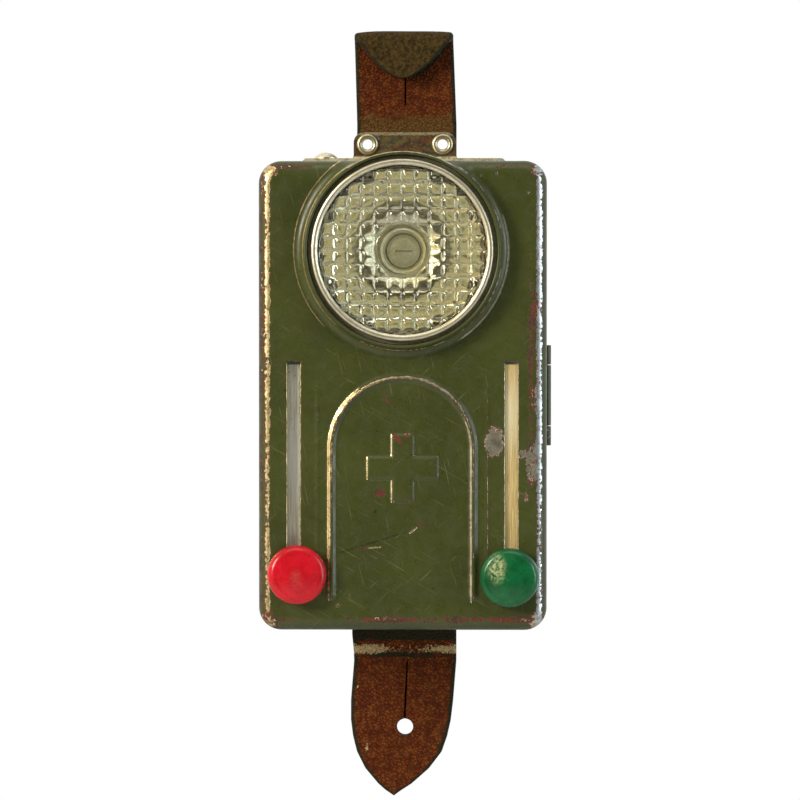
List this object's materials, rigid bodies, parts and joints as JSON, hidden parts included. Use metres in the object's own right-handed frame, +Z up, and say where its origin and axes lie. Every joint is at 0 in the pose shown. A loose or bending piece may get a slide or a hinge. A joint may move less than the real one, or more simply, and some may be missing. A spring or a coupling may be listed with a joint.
{
  "type": "morse signal lamp",
  "caption": "Pocket signal lamp: hinged steel case, patterned lens, red and green filters on two slides, morse button and a leather buttonhole strap.",
  "frame": {"origin": "midway between the two strap eyelets, on the middle plane of the bracket's tongue", "axes": "+Z up along the hanging strap, -Y the way the lens looks, +X to the right seen from the front"},
  "size_m": [0.0712, 0.0405, 0.1923],
  "materials": {
    "olive_paint": "glossy olive green paint worn to steel at the edges",
    "bracket_steel": "worn grey steel with traces of paint",
    "nickel": "dull nickel plate",
    "steel": "plain steel",
    "brass": "brushed brass",
    "rail_nickel": "tinned steel",
    "leather": "red-brown grained leather with dark worn edges",
    "red_plastic": "glossy red",
    "green_plastic": "glossy green",
    "red_film": "clear red film",
    "green_film": "clear green film",
    "lens_glass": "pressed clear glass",
    "bulb_glass": "clear thin glass",
    "mirror": "polished silvered bowl",
    "cork": "cork",
    "fibre": "brown fibre board",
    "battery_wrap": "dull blue-grey wrap",
    "tungsten": "dark wire"
  },
  "bodies": {
    "case": {"back_case": "olive_paint", "strap_bracket": "bracket_steel", "bracket_rivets": "steel", "strap_eyelets": "nickel", "leather_strap": "leather", "hinge_pin": "steel", "catch_spring": "steel", "reflector_carrier": "steel", "reflector": "mirror", "bulb_socket": "brass", "bulb_base": "brass", "bulb_glass": "bulb_glass", "bulb_filament": "tungsten", "battery": "battery_wrap", "battery_tongues": "brass", "insulator_board": "fibre", "board_rivets": "steel", "centre_contact": "brass", "key_contact": "brass", "key_post": "brass", "button_bush": "brass"},
    "cover": {"front_cover": "olive_paint", "lens_bezel": "nickel", "lens_glass": "lens_glass", "lens_gasket": "cork", "filter_guide": "steel", "filter_divider": "steel", "battery_leaf": "steel", "leaf_rivets": "steel"},
    "red_filter": {"red_frame": "rail_nickel", "red_film": "red_film", "red_stem": "steel", "red_knob": "red_plastic"},
    "green_filter": {"green_frame": "brass", "green_film": "green_film", "green_stem": "steel", "green_knob": "green_plastic"},
    "button": {"morse_button": "nickel"},
    "key": {"key_blade": "brass"}
  },
  "joints": [
    {"name": "cover_hinge", "type": "hinge", "parent": "case", "child": "cover", "pos_m": [0.03515, -0.0226, -0.0624], "axis": [0, 0, 1], "range_deg": [0, 110]},
    {"name": "red_slide", "type": "slide", "parent": "cover", "child": "red_filter", "axis": [0, 0, 1], "range_m": [0, 0.0475]},
    {"name": "green_slide", "type": "slide", "parent": "cover", "child": "green_filter", "axis": [0, 0, 1], "range_m": [0, 0.0475]},
    {"name": "morse_press", "type": "slide", "parent": "case", "child": "button", "axis": [0, 0, -1], "range_m": [0, 0.001], "stiffness_N_per_m": 1500, "springref_m": -0.0008},
    {"name": "key_flex", "type": "hinge", "parent": "case", "child": "key", "pos_m": [0, -0.0106, -0.01], "axis": [0, -1, 0], "range_deg": [0, 3]}
  ],
  "couplings": [
    {"joint": "key_flex", "follows": "morse_press", "rad_per_m": 51.546}
  ]
}
